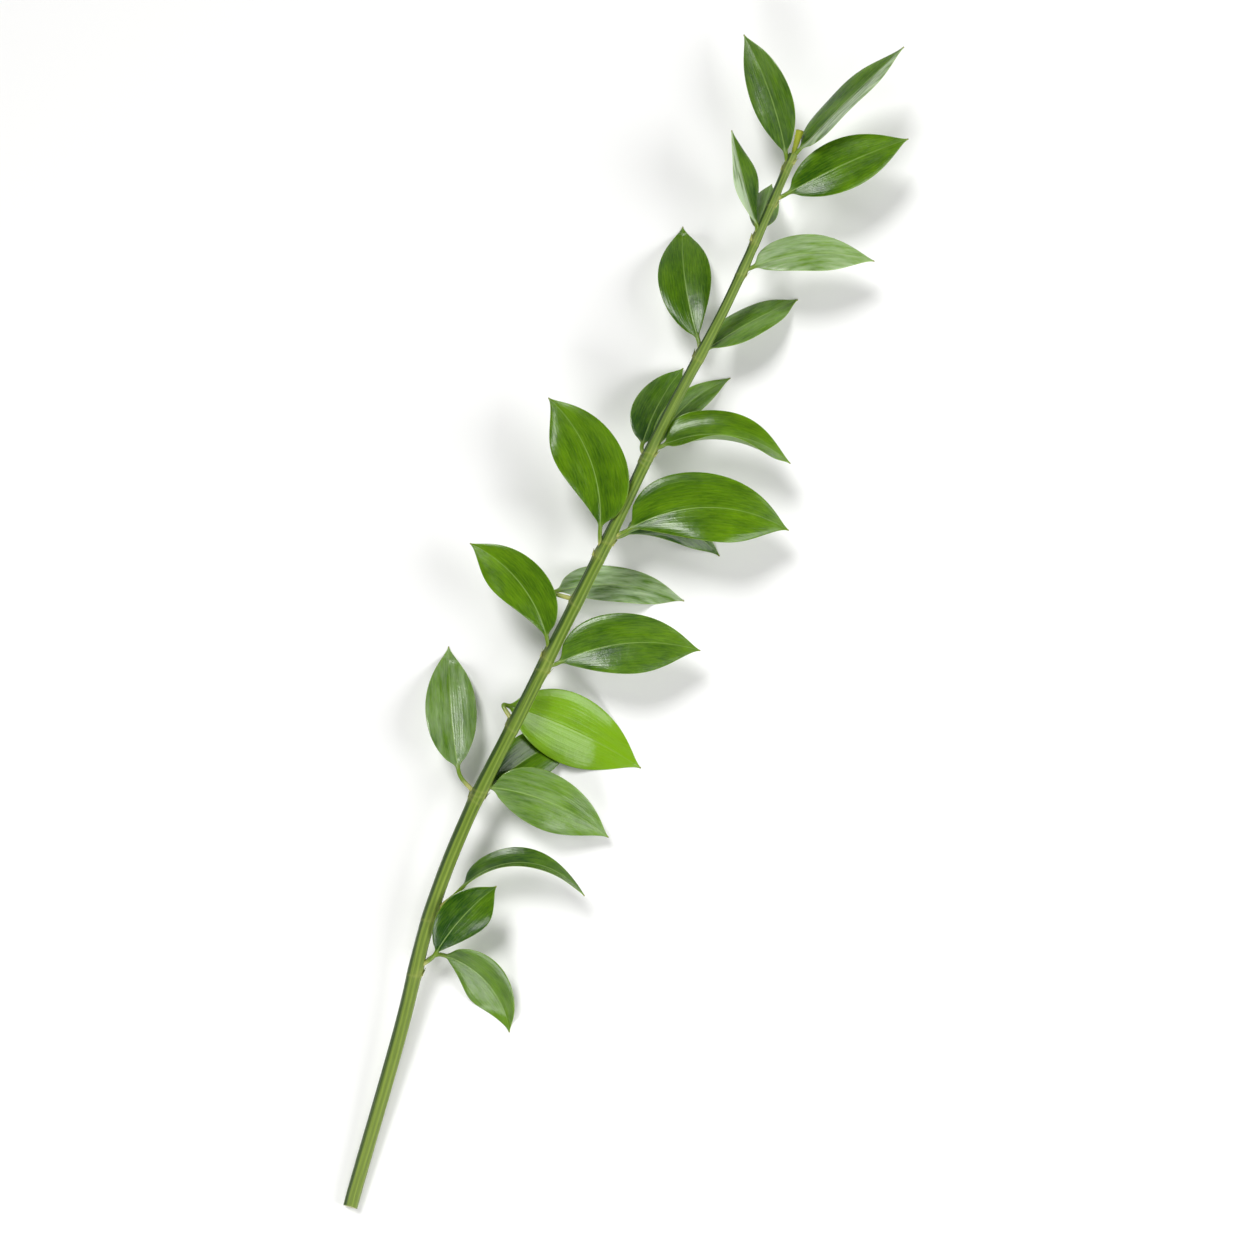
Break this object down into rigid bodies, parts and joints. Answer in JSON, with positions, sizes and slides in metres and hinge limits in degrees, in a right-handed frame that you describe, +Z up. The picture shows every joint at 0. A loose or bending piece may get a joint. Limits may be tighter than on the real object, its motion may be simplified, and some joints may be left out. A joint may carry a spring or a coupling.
{
  "type": "fresh ruscus stem",
  "caption": "Fresh cut stem of ruscus lying on a flat surface: a long green cane with glossy, pointed leaves on short stalks along its upper part and a closed bud at its tip.",
  "frame": {"origin": "on the surface the stem lies on, under the middle of its bounding box", "axes": "+Y from the cut end to the leafy tip, +Z up off the surface, +X to the right when seen from above with the tip pointing away"},
  "size_m": [0.1498, 0.669, 0.0479],
  "materials": {
    "leaf": "glossy waxy green, finely veined",
    "cane": "satin green, finely ridged",
    "bud": "matte yellow-green"
  },
  "bodies": {
    "root": {"leafy_stem": "leaf"}
  },
  "joints": []
}
